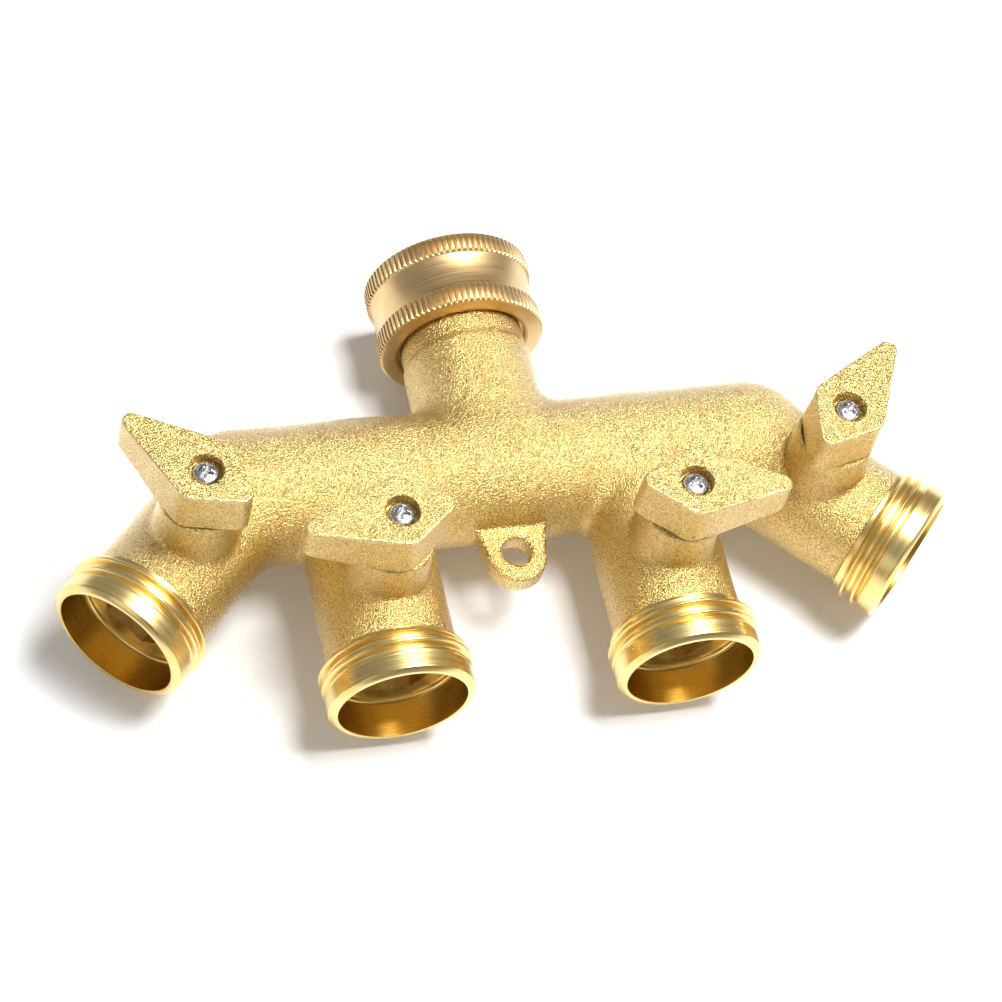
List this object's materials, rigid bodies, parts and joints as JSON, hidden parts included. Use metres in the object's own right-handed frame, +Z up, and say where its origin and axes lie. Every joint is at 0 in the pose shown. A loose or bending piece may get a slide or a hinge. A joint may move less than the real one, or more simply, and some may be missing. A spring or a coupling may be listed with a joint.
{
  "type": "garden hose splitter",
  "caption": "Cast brass garden hose splitter: a cross tube with a swivel inlet nut, male hose outlets with lever ball valves and a screw ear.",
  "frame": {"origin": "under the middle of the splitter, centred left to right and front to back, on the plane that its lowest point touches", "axes": "+X along the cross tube, +Y towards the tap side (the inlet), +Z up along the valve stems"},
  "size_m": [0.163, 0.0858, 0.0441],
  "materials": {
    "cast_brass": "sand-cast and shot-blasted, satin with a fine grain",
    "turned_brass": "machined, bright",
    "nut_brass": "turned and brushed, with a straight knurl",
    "plated_ball": "polished plating",
    "plated_screw": "bright zinc plating",
    "seat_plastic": "smooth white PTFE",
    "rubber": "matt black rubber"
  },
  "bodies": {
    "root": {"manifold_body": "cast_brass", "inlet_tailpiece": "turned_brass", "inner_seat_1": "seat_plastic", "outer_seat_1": "seat_plastic", "seat_retainer_1": "turned_brass", "inner_seat_2": "seat_plastic", "outer_seat_2": "seat_plastic", "seat_retainer_2": "turned_brass", "inner_seat_3": "seat_plastic", "outer_seat_3": "seat_plastic", "seat_retainer_3": "turned_brass", "inner_seat_4": "seat_plastic", "outer_seat_4": "seat_plastic", "seat_retainer_4": "turned_brass"},
    "nut": {"swivel_nut": "nut_brass", "inlet_washer": "rubber"},
    "valve_1": {"lever_1": "cast_brass", "lever_screw_1": "plated_screw", "stem_1": "turned_brass", "stem_seals_1": "rubber", "ball_1": "plated_ball"},
    "valve_2": {"lever_2": "cast_brass", "lever_screw_2": "plated_screw", "stem_2": "turned_brass", "stem_seals_2": "rubber", "ball_2": "plated_ball"},
    "valve_3": {"lever_3": "cast_brass", "lever_screw_3": "plated_screw", "stem_3": "turned_brass", "stem_seals_3": "rubber", "ball_3": "plated_ball"},
    "valve_4": {"lever_4": "cast_brass", "lever_screw_4": "plated_screw", "stem_4": "turned_brass", "stem_seals_4": "rubber", "ball_4": "plated_ball"}
  },
  "joints": [
    {"name": "nut_swivel", "type": "hinge", "parent": "root", "child": "nut", "pos_m": [0, 0.0354, 0.0153], "axis": [0, 1, 0], "continuous": true},
    {"name": "valve_turn_1", "type": "hinge", "parent": "root", "child": "valve_1", "pos_m": [-0.05711, -0.00951, 0.0153], "axis": [0, 0, 1], "range_deg": [0, 90]},
    {"name": "valve_turn_2", "type": "hinge", "parent": "root", "child": "valve_2", "pos_m": [-0.0259, -0.0211, 0.0153], "axis": [0, 0, 1], "range_deg": [-5, 85]},
    {"name": "valve_turn_3", "type": "hinge", "parent": "root", "child": "valve_3", "pos_m": [0.0259, -0.0211, 0.0153], "axis": [0, 0, -1], "range_deg": [-8, 82]},
    {"name": "valve_turn_4", "type": "hinge", "parent": "root", "child": "valve_4", "pos_m": [0.05711, -0.00951, 0.0153], "axis": [0, 0, -1], "range_deg": [0, 90]}
  ]
}
